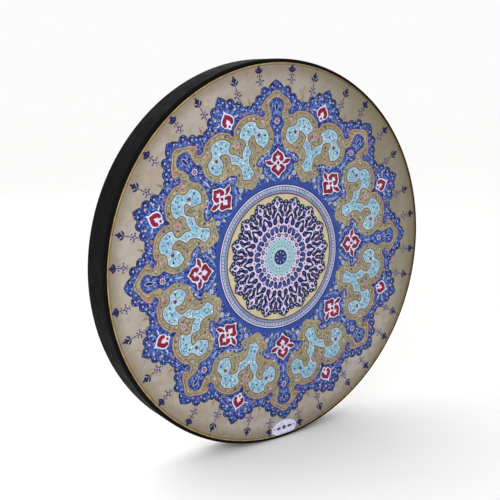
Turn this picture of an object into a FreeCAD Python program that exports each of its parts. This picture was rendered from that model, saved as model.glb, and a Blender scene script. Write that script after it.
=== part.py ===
# A shallow frame drum: a bent wooden hoop with a printed skin glued over its front edge, a black
# leatherette cover round its side, and short chains of steel rings hung from screw eyes inside.
# The drum stands on its rim. Its axis runs along Y, the skin faces -Y and +Z is up.
# The origin is under the middle of the rim, halfway through the depth.
import FreeCAD, Part
import math
import os

Vector = FreeCAD.Vector

# Overall, mm
OUTER_DIAMETER = 530.0
DEPTH = 45.0

# Side cover, a strip of leatherette that turns over the front corner
COVER_THICKNESS = 1.0

# Hoop of bent wood, bevelled inside towards the edge that the skin lies on
HOOP_WALL = 12.0
HOOP_CORNER = 3.0
BEARING_WIDTH = 3.0
BEVEL_DEPTH = 13.0
HOOP_BACK_FILLET = 1.5

# Skin
SKIN_THICKNESS = 0.5
SKIN_TUCK = 3.0
LIP_HEIGHT = 1.0
LIP_SLOPE_WIDTH = 3.5

# Paper label on the skin, under one point of the printed star
LABEL_WIDTH = 47.0
LABEL_HEIGHT = 25.0
LABEL_THICKNESS = 0.15
LABEL_FROM_EDGE = 14.0
LABEL_TURN = 2.0

# Screw eyes
CHAIN_COUNT = 15
CHAIN_STEP = 12.0
EYE_WIRE = 1.6
EYE_LOOP = 6.4
EYE_NECK = 5.0
EYE_EMBED = 8.0
EYE_FROM_BACK = 21.5

# Rings
RING_WIRE = 1.6
RING_LOOP = 12.4
LINK_CLEARANCE = 0.15
RINGS_PER_CHAIN = ("upper", "middle", "lower")

# Hand strap and its fixings
STRAP_WIDTH = 24.0
STRAP_THICKNESS = 2.4
STRAP_HALF_ANGLE = 13.0
STRAP_RISE = 30.0
STRAP_TAB = 17.0
STRAP_FROM_BACK = 14.5
SCREW_HOLE_CLEARANCE = 0.1
SCREW_SHANK = 3.0
SCREW_HEAD = 7.2
SCREW_HEAD_HEIGHT = 2.2
SCREW_SLOT_WIDTH = 0.9
SCREW_SLOT_DEPTH = 0.9
SCREW_EMBED = 8.0
WASHER_DIAMETER = 9.6
WASHER_THICKNESS = 0.8

# Thumb hollow, scooped out of the hoop's inside from the back edge
THUMB_RADIUS = 14.0
THUMB_DEPTH = 5.0
THUMB_LENGTH = 19.0
THUMB_TURN = 27.0

# Worked out from the sizes above
OUTER_RADIUS = OUTER_DIAMETER / 2
CENTRE = Vector(0, 0, OUTER_RADIUS)
AXIS = Vector(0, 1, 0)
FRONT = -DEPTH / 2
BACK = DEPTH / 2
HOOP_OUTER = OUTER_RADIUS - COVER_THICKNESS
HOOP_INNER = HOOP_OUTER - HOOP_WALL
REBATE_RADIUS = HOOP_OUTER - SKIN_THICKNESS
CORNER_RADIUS = REBATE_RADIUS - HOOP_CORNER
SKIN_FRONT = FRONT + COVER_THICKNESS
HOOP_FRONT = SKIN_FRONT + SKIN_THICKNESS
CORNER_Y = HOOP_FRONT + HOOP_CORNER
TUCK_Y = CORNER_Y + SKIN_TUCK
BEARING_INNER = CORNER_RADIUS - BEARING_WIDTH
MEMBRANE_RADIUS = BEARING_INNER - LIP_SLOPE_WIDTH
EYE_Y = BACK - EYE_FROM_BACK
EYE_DISTANCE = HOOP_INNER - EYE_NECK - (EYE_LOOP + EYE_WIRE) / 2
STRAP_Y = BACK - STRAP_FROM_BACK
RING_RADIUS = RING_LOOP / 2


def at(radius, y):
    """The point of a turned profile at this radius and depth, above the drum's centre."""
    return Vector(0, y, CENTRE.z + radius)


def outward(angle):
    """The direction away from the drum's centre, clockwise from the top as seen from the skin's side."""
    turn = math.radians(angle)
    return Vector(math.sin(turn), 0, math.cos(turn))


def line(start, end):
    return Part.LineSegment(start, end).toShape()


def arc(start, middle, end):
    return Part.Arc(start, middle, end).toShape()


def on_corner(radius, degrees):
    """A point on an arc about the hoop's front corner, from the side at 0 to the front at 90."""
    turn = math.radians(degrees)
    return at(CORNER_RADIUS + radius * math.cos(turn), CORNER_Y - radius * math.sin(turn))


def corner_arc(radius, start, end):
    """An arc about the hoop's front corner."""
    middle = (start + end) / 2
    return arc(on_corner(radius, start), on_corner(radius, middle), on_corner(radius, end))


def turned(edges):
    """The solid that a closed profile sweeps about the drum's axis."""
    face = Part.Face(Part.Wire(edges))
    return face.revolve(CENTRE, AXIS, 360)


def chain_of_lines(points):
    """Straight edges from each point to the next."""
    return [line(start, end) for start, end in zip(points, points[1:])]


def cylinder(radius, length, base, direction):
    return Part.makeCylinder(radius, length, base, direction)


def export(shape, name):
    shape.exportStep(os.path.join("parts", name + ".step"))


def chain_angles():
    """Where the chains hang, in degrees clockwise from the top."""
    first = -CHAIN_STEP * (CHAIN_COUNT - 1) / 2
    return [first + CHAIN_STEP * index for index in range(CHAIN_COUNT)]


def screw_angles():
    """Where the two strap screws sit, in degrees clockwise from the top."""
    tab_angle = math.degrees(STRAP_TAB / HOOP_INNER)
    offset = STRAP_HALF_ANGLE + tab_angle / 2
    return [180 - offset, 180 + offset]


def eye_centre(angle):
    """The middle of a screw eye's loop."""
    return CENTRE + outward(angle) * EYE_DISTANCE + Vector(0, EYE_Y, 0)


def make_hoop_blank():
    """The hoop before anything is drilled or scooped out of it."""
    corner = corner_arc(HOOP_CORNER, 0, 90)
    front = chain_of_lines([
        at(CORNER_RADIUS, HOOP_FRONT),
        at(BEARING_INNER, HOOP_FRONT),
        at(HOOP_INNER, HOOP_FRONT + BEVEL_DEPTH),
        at(HOOP_INNER, BACK - HOOP_BACK_FILLET),
    ])
    diagonal = HOOP_BACK_FILLET * (1 - math.sqrt(0.5))
    back_round = arc(
        at(HOOP_INNER, BACK - HOOP_BACK_FILLET),
        at(HOOP_INNER + diagonal, BACK - diagonal),
        at(HOOP_INNER + HOOP_BACK_FILLET, BACK),
    )
    outside = chain_of_lines([
        at(HOOP_INNER + HOOP_BACK_FILLET, BACK),
        at(HOOP_OUTER, BACK),
        at(HOOP_OUTER, TUCK_Y),
        at(REBATE_RADIUS, TUCK_Y),
        at(REBATE_RADIUS, CORNER_Y),
    ])
    return turned([corner, *front, back_round, *outside])


def make_hoop():
    """The hoop with its eye holes, screw holes and thumb hollow."""
    hoop = make_hoop_blank()
    cuts = [
        cylinder(EYE_WIRE / 2, EYE_EMBED + EYE_NECK, eye_seat(angle, -EYE_NECK), outward(angle))
        for angle in chain_angles()
    ]
    for angle in screw_angles():
        start = CENTRE + outward(angle) * (HOOP_INNER - 1) + Vector(0, STRAP_Y, 0)
        cuts.append(cylinder(SCREW_SHANK / 2, SCREW_EMBED + 1, start, outward(angle)))
    middle = CENTRE + outward(180 + THUMB_TURN) * (HOOP_INNER + THUMB_DEPTH - THUMB_RADIUS)
    start = middle + Vector(0, BACK - THUMB_LENGTH, 0)
    cuts.append(cylinder(THUMB_RADIUS, THUMB_LENGTH + 1, start, AXIS))
    return hoop.cut(cuts)


def make_skin():
    """The skin: flat inside, raised over the hoop's edge, and tucked under the cover."""
    corner_outer = HOOP_CORNER + SKIN_THICKNESS
    front = chain_of_lines([
        at(CORNER_RADIUS, SKIN_FRONT),
        at(BEARING_INNER, SKIN_FRONT),
        at(MEMBRANE_RADIUS, SKIN_FRONT + LIP_HEIGHT),
        at(0, SKIN_FRONT + LIP_HEIGHT),
        at(0, HOOP_FRONT + LIP_HEIGHT),
        at(MEMBRANE_RADIUS, HOOP_FRONT + LIP_HEIGHT),
        at(BEARING_INNER, HOOP_FRONT),
        at(CORNER_RADIUS, HOOP_FRONT),
    ])
    tuck = chain_of_lines([
        at(REBATE_RADIUS, CORNER_Y),
        at(REBATE_RADIUS, TUCK_Y),
        at(HOOP_OUTER, TUCK_Y),
        at(HOOP_OUTER, CORNER_Y),
    ])
    inner_arc = corner_arc(HOOP_CORNER, 90, 0)
    outer_arc = corner_arc(corner_outer, 0, 90)
    return turned([*front, inner_arc, *tuck, outer_arc])


def make_cover():
    """The side cover, from the back edge round the front corner."""
    inner_radius = HOOP_CORNER + SKIN_THICKNESS
    outer_radius = inner_radius + COVER_THICKNESS
    side = chain_of_lines([
        at(HOOP_OUTER, CORNER_Y),
        at(HOOP_OUTER, BACK),
        at(OUTER_RADIUS, BACK),
        at(OUTER_RADIUS, CORNER_Y),
    ])
    outer_arc = corner_arc(outer_radius, 0, 90)
    end = line(on_corner(outer_radius, 90), on_corner(inner_radius, 90))
    inner_arc = corner_arc(inner_radius, 90, 0)
    return turned([*side, outer_arc, end, inner_arc])


def make_label():
    """A thin oval of paper that follows the skin up onto its lip."""
    front = [
        at(CORNER_RADIUS, SKIN_FRONT),
        at(BEARING_INNER, SKIN_FRONT),
        at(MEMBRANE_RADIUS, SKIN_FRONT + LIP_HEIGHT),
        at(MEMBRANE_RADIUS - LABEL_HEIGHT, SKIN_FRONT + LIP_HEIGHT),
    ]
    raised = [point - AXIS * LABEL_THICKNESS for point in front]
    film = turned(chain_of_lines([*front, *reversed(raised), front[0]]))
    turn = 180 - LABEL_TURN
    middle = CENTRE + outward(turn) * (OUTER_RADIUS - LABEL_FROM_EDGE)
    ellipse = Part.Ellipse(Vector(0, 0, 0), LABEL_WIDTH / 2, LABEL_HEIGHT / 2).toShape()
    face = Part.Face(Part.Wire(ellipse))
    prism = face.extrude(Vector(0, 0, DEPTH))
    prism.rotate(Vector(0, 0, 0), Vector(1, 0, 0), 90)
    prism.rotate(Vector(0, 0, 0), AXIS, -LABEL_TURN)
    prism.translate(middle)
    return film.common(prism)


def eye_seat(angle, depth):
    """A point on a screw eye's shank, this deep behind the hoop's inner wall."""
    return CENTRE + outward(angle) * (HOOP_INNER + depth) + Vector(0, EYE_Y, 0)


def make_eye(angle):
    """One screw eye: a wire loop on a shank that runs into the hoop."""
    loop = Part.makeTorus(EYE_LOOP / 2, EYE_WIRE / 2, eye_centre(angle), AXIS)
    start = eye_seat(angle, -EYE_NECK - EYE_WIRE / 4)
    shank = cylinder(EYE_WIRE / 2, EYE_EMBED + EYE_NECK + EYE_WIRE / 4, start, outward(angle))
    return loop.fuse(shank).removeSplitter()


def make_ring(top, direction):
    """A wire ring that hangs from this point of its own top wire, lying across this direction."""
    return Part.makeTorus(RING_RADIUS, RING_WIRE / 2, top - Vector(0, 0, RING_RADIUS), direction)


def make_chain(angle):
    """The rings of one chain from top to bottom, linked crosswise."""
    across = Vector(1, 0, 0)
    eye_low = eye_centre(angle) - Vector(0, 0, EYE_LOOP / 2)
    over_eye = Vector(0, 0, (EYE_WIRE + RING_WIRE) / 2 + LINK_CLEARANCE)
    over_ring = Vector(0, 0, RING_WIRE + LINK_CLEARANCE)
    whole_ring = Vector(0, 0, RING_LOOP)
    tops = [eye_low + over_eye]
    for previous in range(len(RINGS_PER_CHAIN) - 1):
        tops.append(tops[previous] - whole_ring + over_ring)
    directions = [across, AXIS, across]
    return [make_ring(top, direction) for top, direction in zip(tops, directions)]


def strap_section():
    """The strap's outline seen along the drum's axis, as a face at the skin's side of the strap."""
    middle_radius = HOOP_INNER - STRAP_THICKNESS / 2
    half = math.radians(STRAP_HALF_ANGLE)
    end_x = middle_radius * math.sin(half)
    end_drop = middle_radius * (1 - math.cos(half))
    rise = STRAP_RISE - end_drop
    arch_radius = (end_x ** 2 + rise ** 2) / (2 * rise)
    low = CENTRE.z - middle_radius
    return arch_radius, Vector(0, 0, low + STRAP_RISE - arch_radius), end_x


def ring_sector(radius, thickness, centre, middle_angle, half_angle):
    """A flat arched bar across the strap's width, centred on this angle from the top."""
    start_y = Vector(0, STRAP_Y - STRAP_WIDTH / 2, 0)

    def point(distance, angle):
        return centre + outward(angle) * distance + start_y

    def sweep(distance, start, end):
        return arc(point(distance, start), point(distance, (start + end) / 2), point(distance, end))

    inside = radius - thickness / 2
    outside = radius + thickness / 2
    low = middle_angle - half_angle
    high = middle_angle + half_angle
    edges = [
        sweep(outside, low, high),
        line(point(outside, high), point(inside, high)),
        sweep(inside, high, low),
        line(point(inside, low), point(outside, low)),
    ]
    return Part.Face(Part.Wire(edges)).extrude(AXIS * STRAP_WIDTH)


def make_strap():
    """The hand strap: an arch over the hoop's bottom with a tab at each end."""
    arch_radius, arch_centre, end_x = strap_section()
    arch_half = math.degrees(math.asin(end_x / arch_radius))
    overlap = math.degrees(STRAP_THICKNESS / arch_radius)
    strap = ring_sector(arch_radius, STRAP_THICKNESS, arch_centre, 0, arch_half + overlap)
    tab_half = math.degrees(STRAP_TAB / HOOP_INNER) / 2
    middle_radius = HOOP_INNER - STRAP_THICKNESS / 2
    for angle in screw_angles():
        strap = strap.fuse(ring_sector(middle_radius, STRAP_THICKNESS, CENTRE, angle, tab_half))
    inside = cylinder(HOOP_INNER, DEPTH, CENTRE + AXIS * FRONT, AXIS)
    strap = strap.common(inside).removeSplitter()
    hole_radius = SCREW_SHANK / 2 + SCREW_HOLE_CLEARANCE
    for angle in screw_angles():
        start = screw_point(angle, -STRAP_THICKNESS * 2)
        strap = strap.cut(cylinder(hole_radius, STRAP_THICKNESS * 3, start, outward(angle)))
    return strap


def screw_point(angle, depth):
    """A point on a strap screw's axis, this deep behind the hoop's inner wall."""
    return CENTRE + outward(angle) * (HOOP_INNER + depth) + Vector(0, STRAP_Y, 0)


def washer_seat():
    """How far from the drum's centre a flat washer can lie without cutting into the curved tab."""
    return math.sqrt((HOOP_INNER - STRAP_THICKNESS) ** 2 - (WASHER_DIAMETER / 2) ** 2)


def make_washer(angle):
    """One flat washer under a strap screw's head."""
    start = CENTRE + outward(angle) * (washer_seat() - WASHER_THICKNESS) + Vector(0, STRAP_Y, 0)
    disc = cylinder(WASHER_DIAMETER / 2, WASHER_THICKNESS, start, outward(angle))
    hole_radius = SCREW_SHANK / 2 + SCREW_HOLE_CLEARANCE
    return disc.cut(cylinder(hole_radius, WASHER_THICKNESS, start, outward(angle)))


def make_screw(angle):
    """One round-headed strap screw with a straight slot."""
    head_base = washer_seat() - WASHER_THICKNESS
    tip = HOOP_INNER + SCREW_EMBED - head_base
    radius = SCREW_HEAD / 2
    dome_radius = (radius ** 2 + SCREW_HEAD_HEIGHT ** 2) / (2 * SCREW_HEAD_HEIGHT)
    half_way = math.asin(radius / dome_radius) / 2
    dome_centre = dome_radius - SCREW_HEAD_HEIGHT
    top = Vector(0, 0, -SCREW_HEAD_HEIGHT)
    rim = Vector(radius, 0, 0)
    on_dome = Vector(dome_radius * math.sin(half_way), 0, dome_centre - dome_radius * math.cos(half_way))
    shank = SCREW_SHANK / 2
    sides = chain_of_lines([rim, Vector(shank, 0, 0), Vector(shank, 0, tip), Vector(0, 0, tip), top])
    section = Part.Face(Part.Wire([arc(top, on_dome, rim), *sides]))
    screw = section.revolve(Vector(0, 0, 0), Vector(0, 0, 1), 360)
    slot = Part.makeBox(SCREW_SLOT_WIDTH, SCREW_HEAD, SCREW_SLOT_DEPTH)
    slot.translate(top - Vector(SCREW_SLOT_WIDTH / 2, SCREW_HEAD / 2, 0))
    screw = screw.cut(slot)
    screw.rotate(Vector(0, 0, 0), AXIS, angle)
    screw.translate(CENTRE + outward(angle) * head_base + Vector(0, STRAP_Y, 0))
    return screw


def export_rings():
    """Every ring is its own node, numbered by chain from the left as seen from the skin's side."""
    for number, angle in enumerate(chain_angles(), start=1):
        for place, ring in zip(RINGS_PER_CHAIN, make_chain(angle)):
            export(ring, f"ring_{number:02d}_{place}")


def main():
    os.makedirs("parts", exist_ok=True)
    export(make_hoop(), "frame_hoop")
    export(make_skin(), "head_skin")
    export(make_cover(), "side_cover")
    export(make_label(), "maker_label")
    export(Part.makeCompound([make_eye(angle) for angle in chain_angles()]), "ring_eyes")
    export_rings()
    export(make_strap(), "hand_strap")
    export(Part.makeCompound([make_washer(angle) for angle in screw_angles()]), "strap_washers")
    export(Part.makeCompound([make_screw(angle) for angle in screw_angles()]), "strap_screws")


main()
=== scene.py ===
"""A frame drum that stands on its rim: printed skin, black side cover, wooden hoop and steel rings.

The print is laid on the skin as thin flat pieces, one ink over the next. Its plan is in millimetres
from the drum's centre, with +y outward along an axis of the pattern and +x clockwise of it.
"""
import math

import bpy
import numpy as np
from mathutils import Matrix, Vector
from mathutils.geometry import delaunay_2d_cdt


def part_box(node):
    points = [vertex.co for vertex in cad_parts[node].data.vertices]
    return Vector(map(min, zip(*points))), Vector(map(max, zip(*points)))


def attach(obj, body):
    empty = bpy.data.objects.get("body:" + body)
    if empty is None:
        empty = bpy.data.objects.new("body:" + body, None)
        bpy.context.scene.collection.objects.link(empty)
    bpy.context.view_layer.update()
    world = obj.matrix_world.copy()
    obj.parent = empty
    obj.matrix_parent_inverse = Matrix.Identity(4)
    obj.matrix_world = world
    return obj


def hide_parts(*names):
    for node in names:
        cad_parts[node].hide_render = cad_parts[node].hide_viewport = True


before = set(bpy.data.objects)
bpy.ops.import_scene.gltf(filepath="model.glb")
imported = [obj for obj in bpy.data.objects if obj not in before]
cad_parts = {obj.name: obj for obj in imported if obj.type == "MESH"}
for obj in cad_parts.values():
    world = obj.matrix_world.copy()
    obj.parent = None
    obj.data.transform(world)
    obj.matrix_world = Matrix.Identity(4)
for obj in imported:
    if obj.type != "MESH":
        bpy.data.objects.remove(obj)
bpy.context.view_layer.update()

MM = 0.001

# The drum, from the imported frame
COVER_LOW, COVER_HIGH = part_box("side_cover")
_, SKIN_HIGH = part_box("head_skin")
STRAP_LOW, STRAP_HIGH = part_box("hand_strap")
CENTRE_Z = (COVER_LOW.z + COVER_HIGH.z) / 2
FRONT = COVER_LOW.y / MM
BACK = COVER_HIGH.y / MM
TUCK_BACK = SKIN_HIGH.y / MM

# Turned profiles, mm
OUTER_RADIUS = 265.0
HOOP_OUTER = 264.0
REBATE_RADIUS = 263.5
CORNER_RADIUS = 260.5
CORNER_Y = FRONT + 4.5
MEMBRANE = 2.0
SKIN_THICKNESS = 0.5
SEAM_TURN = 104.0  # degrees clockwise from the top
LIP = [  # radius, and how far it stands in front of the membrane
    (254.0, 0.0), (255.6, 0.08), (256.6, 0.34), (257.3, 0.82), (257.9, 1.3),
    (258.6, 1.64), (259.3, 1.7), (260.0, 1.5), (260.5, 1.16), (261.0, 0.96),
]

# The print: a level's height and a plate's root in mm, a plate's share of a level, turns in degrees
INK_STEP = 0.02
PLATE_ROOT = 0.04
PLATE_STEP = 0.045
CUSP = True  # the third value of a point that stays sharp
STAR_TURN = 20.2
ROSETTE_TURN = 17.8
ONCE = (0,)
STAR = (STAR_TURN,)
ROSETTE = (ROSETTE_TURN,)
AXES = [STAR_TURN + 45 * k for k in range(8)]
STEMS = [turn + 22.5 for turn in AXES]
TIPS = [ROSETTE_TURN + 22.5 * k for k in range(16)]
KNOBS = [turn + 11.25 for turn in TIPS]


def srgb(red, green, blue):
    """A linear colour from 0-255 values."""
    made = []
    for value in (red, green, blue):
        part = value / 255
        made.append(part / 12.92 if part <= 0.04045 else ((part + 0.055) / 1.055) ** 2.4)
    return (*made, 1.0)


# ---- Outlines ----

def smooth(points, closed=True, steps=4):
    """A curve through the points, rounded but at a cusp."""
    count = len(points)
    spots = [Vector(point[:2]) for point in points]
    sharp = [len(point) > 2 for point in points]
    curve = []
    for i in range(count if closed else count - 1):
        j = (i + 1) % count
        here, there = spots[i], spots[j]
        step = there - here
        leave = step.copy()
        if not sharp[i] and (closed or i > 0):
            leave = (there - spots[i - 1]).normalized() * step.length
        arrive = step.copy()
        if not sharp[j] and (closed or j < count - 1):
            arrive = (spots[(j + 1) % count] - here).normalized() * step.length
        for k in range(steps):
            t = k / steps
            spot = here * (2 * t ** 3 - 3 * t ** 2 + 1) + leave * (t ** 3 - 2 * t ** 2 + t)
            spot += there * (3 * t ** 2 - 2 * t ** 3) + arrive * (t ** 3 - t ** 2)
            curve.append(spot)
    if not closed:
        curve.append(spots[-1])
    return curve


def flipped(points):
    """The same points on the other side of the axis."""
    return [(-point[0], *point[1:]) for point in points]


def twin(half):
    """A whole smooth outline from its right half, whose first and last points lie on the axis."""
    return smooth([*half, *flipped(reversed(half[1:-1]))])


def turned(point, turn):
    """A point turned clockwise about the drum's centre, in degrees."""
    angle = math.radians(turn)
    x = point[0] * math.cos(angle) + point[1] * math.sin(angle)
    y = point[1] * math.cos(angle) - point[0] * math.sin(angle)
    return (x, y, *point[2:])


def from_stem(*points):
    """Points of the left half beside a stem's axis, in the plan of the star axis to its left."""
    return [turned(point, 22.5) for point in flipped(points)]


def star_of(fold, half):
    """A smooth star from its outline between a tip's axis and the axis halfway to the next tip."""
    back = flipped(reversed(half[1:-1]))
    ring = []
    for k in range(fold):
        ring.extend(turned(point, 360 / fold * k) for point in half)
        ring.extend(turned(point, 360 / fold * (k + 1)) for point in back)
    return smooth(ring, steps=3)


def grown(curve, by):
    """A smooth closed curve moved outward by a distance."""
    count = len(curve)
    area = sum(curve[i - 1].cross(curve[i]) for i in range(count))
    side = 1 if area > 0 else -1
    made = []
    for i in range(count):
        along = (curve[(i + 1) % count] - curve[i - 1]).normalized()
        made.append(curve[i] + Vector((along.y, -along.x)) * by * side)
    return made


def oval(x, y, wide, high=None, turn=0, points=18):
    """An ellipse of this half width and half height."""
    made = []
    for k in range(points):
        a = 2 * math.pi * k / points
        across, up = turned((wide * math.sin(a), (high or wide) * math.cos(a)), turn)
        made.append(Vector((x + across, y + up)))
    return made


def petals(x, y, radius, count=5, waist=0.45, turn=0.0):
    """A small flower with round petals."""
    made = []
    for k in range(count * 8):
        a = 2 * math.pi * k / (count * 8)
        reach = radius * (waist + (1 - waist) * abs(math.cos(a * count / 2)) ** 0.6)
        a += math.radians(turn)
        made.append(Vector((x + reach * math.sin(a), y + reach * math.cos(a))))
    return made


def ribbon(points, width, taper=0.35, steps=4):
    """The outline of a line that swells in the middle and narrows at both ends."""
    line = smooth(points, closed=False, steps=steps)
    last = len(line) - 1
    left, right = [], []
    for i, spot in enumerate(line):
        along = (line[min(i + 1, last)] - line[max(i - 1, 0)]).normalized()
        half = width / 2 * (taper + (1 - taper) * math.sin(math.pi * i / last))
        across = Vector((-along.y, along.x)) * half
        left.append(spot + across)
        right.append(spot - across)
    return [*left, *reversed(right)]


def curl(x, y, radius, start, sweep, width=0.8):
    """A scroll that winds in towards its eye."""
    line = []
    steps = 8
    for k in range(steps + 1):
        t = k / steps
        a = math.radians(start + sweep * t)
        reach = radius * (1 - 0.7 * t)
        line.append((x + reach * math.sin(a), y + reach * math.cos(a)))
    return ribbon(line, width, steps=3)


# ---- Plates of ink ----

def lip_height(radius):
    """How far the skin stands in front of its flat middle at this radius, mm."""
    if radius <= LIP[0][0]:
        return 0.0
    for (near, low), (far, high) in zip(LIP, LIP[1:]):
        if radius <= far:
            return low + (high - low) * (radius - near) / (far - near)
    return LIP[-1][1]


def on_skin(x, y, lift):
    """A point over the skin's front, lifted towards the player by some millimetres."""
    front = FRONT + MEMBRANE - lip_height(math.hypot(x, y))
    return (x * MM, (front - lift) * MM, CENTRE_Z + y * MM)


def inside(curve, spots):
    """Which of the spots the closed curve winds round, in its own direction."""
    near = np.array([tuple(spot) for spot in curve])
    far = np.roll(near, -1, axis=0)
    x, y = np.array([tuple(spot) for spot in spots]).T[:, :, None]
    run = far - near
    side = run[:, 0] * (y - near[:, 1]) - (x - near[:, 0]) * run[:, 1]
    rising = (near[:, 1] <= y) & (far[:, 1] > y) & (side > 0)
    falling = (near[:, 1] > y) & (far[:, 1] <= y) & (side < 0)
    area = (near[:, 0] * far[:, 1] - near[:, 1] * far[:, 0]).sum()
    return (rising.sum(axis=1).astype(int) - falling.sum(axis=1)) * area > 0


def filled(curve, grain=None):
    """Triangles that fill a closed curve, and the edges round them, all anticlockwise."""
    spots = list(curve)
    count = len(spots)
    edges = [(i, (i + 1) % count) for i in range(count)]
    if grain:
        low_x, high_x = min(s.x for s in spots), max(s.x for s in spots)
        low_y, high_y = min(s.y for s in spots), max(s.y for s in spots)
        for i in range(1, int((high_x - low_x) / grain) + 1):
            for j in range(1, int((high_y - low_y) / grain) + 1):
                spots.append(Vector((low_x + i * grain, low_y + j * grain)))
    spots, _, faces, *_ = delaunay_2d_cdt(spots, edges, [], 1, 1e-5, False)
    middles = [(spots[a] + spots[b] + spots[c]) / 3 for a, b, c in faces]
    filling = []
    for face, kept in zip(faces, inside(curve, middles)):
        a, b, c = (spots[i] for i in face)
        size = (b - a).cross(c - a)
        if kept and abs(size) > 1e-7:
            filling.append(tuple(face) if size > 0 else tuple(reversed(face)))
    edges = {(face[i - 1], face[i]) for face in filling for i in range(3)}
    return spots, filling, [(a, b) for a, b in edges if (b, a) not in edges]


class Ink:
    """One ink of the print, as closed plates.

    Each plate stands a little higher or lower than the last, so that no two faces coincide.
    """

    laid = 0

    def __init__(self, name, paint):
        self.name = name
        self.paint = paint
        self.points = []
        self.faces = []

    def add(self, spots, faces, rim, level, turns):
        """Copies of one plate, turned clockwise about the drum's centre."""
        Ink.laid += 1
        height = (level + PLATE_STEP * (Ink.laid % 20)) * INK_STEP
        used = sorted({i for face in faces for i in face})
        place = {old: new for new, old in enumerate(used)}
        count = len(used)
        for turn in turns:
            start = len(self.points)
            flat = [turned(spots[i], turn) for i in used]
            self.points.extend(on_skin(x, y, height) for x, y in flat)
            self.points.extend(on_skin(x, y, -PLATE_ROOT) for x, y in flat)
            for face in faces:
                top = [start + place[i] for i in face]
                self.faces += [top, [i + count for i in reversed(top)]]
            for a, b in rim:
                near, far = start + place[a], start + place[b]
                self.faces.append((far, near, near + count, far + count))

    def lay(self, curve, level, turns=AXES, grain=None):
        """A plate inside this smooth curve."""
        self.add(*filled(curve, grain), level, turns)

    def both(self, curve, level, turns=AXES):
        """A plate and its mirror image across the axis."""
        self.lay(curve, level, turns)
        self.lay([Vector((-spot.x, spot.y)) for spot in curve], level, turns)

    def band(self, inner, outer, level):
        """A flat ring about the drum's centre."""
        self.between(*(oval(0, 0, radius, points=360) for radius in (inner, outer)), level, ONCE)

    def between(self, inner, outer, level, turns):
        """A plate between two closed curves of as many points, the inner one first."""
        count = len(inner)
        spots = [*inner, *outer]
        faces, rim = [], []
        for k in range(count):
            near, far = k, (k + 1) % count
            faces += [(near, far + count, near + count), (near, far, far + count)]
            rim += [(far + count, near + count), (near, far)]
        self.add(spots, faces, rim, level, turns)

    def finish(self):
        """The ink as a piece on the drum."""
        piece = solid(self.name, self.points, self.faces, self.paint)
        return piece


def about_axis(radius, angle, y):
    """A point at this radius from the drum's axis and angle from the top."""
    return (radius * MM * math.sin(angle), y * MM, CENTRE_Z + radius * MM * math.cos(angle))


def tube_faces(start, rows, count):
    """Faces along a row of equal rings of points that begins at start, closed at both ends."""
    faces = []
    for i in range(rows - 1):
        for k in range(count):
            here, there = start + i * count + k, start + i * count + (k + 1) % count
            faces.append((here, there, there + count, here + count))
    last = start + (rows - 1) * count
    return [*faces, tuple(reversed(range(start, start + count))), tuple(range(last, last + count))]


def solid(name, points, faces, paint, rounded=False):
    """A mesh piece that rides on the drum."""
    mesh = bpy.data.meshes.new(name)
    mesh.from_pydata(points, [], faces)
    mesh.materials.append(paint.material)
    if rounded:
        mesh.shade_smooth()
    made = bpy.data.objects.new(name, mesh)
    bpy.context.scene.collection.objects.link(made)
    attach(made, "drum")
    return made


def lathe(name, profile, paint, segments=720):
    """A closed profile of (radius, y) in mm, anticlockwise, turned about the drum's axis."""
    points, rings, faces = [], [], []
    for radius, y in profile:
        count = segments if radius else 1
        rings.append([len(points) + k % count for k in range(segments)])
        for k in range(count):
            a = 2 * math.pi * k / segments
            points.append(about_axis(radius, a, y))
    for here, there in zip(rings, rings[1:] + rings[:1]):
        for k in range(segments):
            n = (k + 1) % segments
            face = tuple(dict.fromkeys((here[k], here[n], there[n], there[k])))
            if len(face) > 2:
                faces.append(face)
    return solid(name, points, faces, paint, rounded=True)


# ---- Materials ----

class Nodes:
    """A node tree, and short ways to add to it."""

    def __init__(self, tree):
        self.tree = tree

    def node(self, kind, inputs=None, **settings):
        """A node with these settings and these inputs, by name or number."""
        made = self.tree.nodes.new("ShaderNode" + kind)
        for name, value in settings.items():
            setattr(made, name, value)
        for key, value in (inputs or {}).items():
            self.put(value, made.inputs[key])
        return made

    def put(self, value, socket):
        """A value, a colour or another node's output into a socket."""
        if hasattr(value, "is_output"):
            self.tree.links.new(value, socket)
        else:
            socket.default_value = value

    def ramp(self, factor, low, high, first=0.0, last=1.0):
        """A value that goes smoothly from first to last as factor goes from low to high."""
        inputs = {"Value": factor, "From Min": low, "From Max": high, "To Min": first, "To Max": last}
        return self.node("MapRange", inputs, interpolation_type="SMOOTHSTEP").outputs["Result"]


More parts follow.
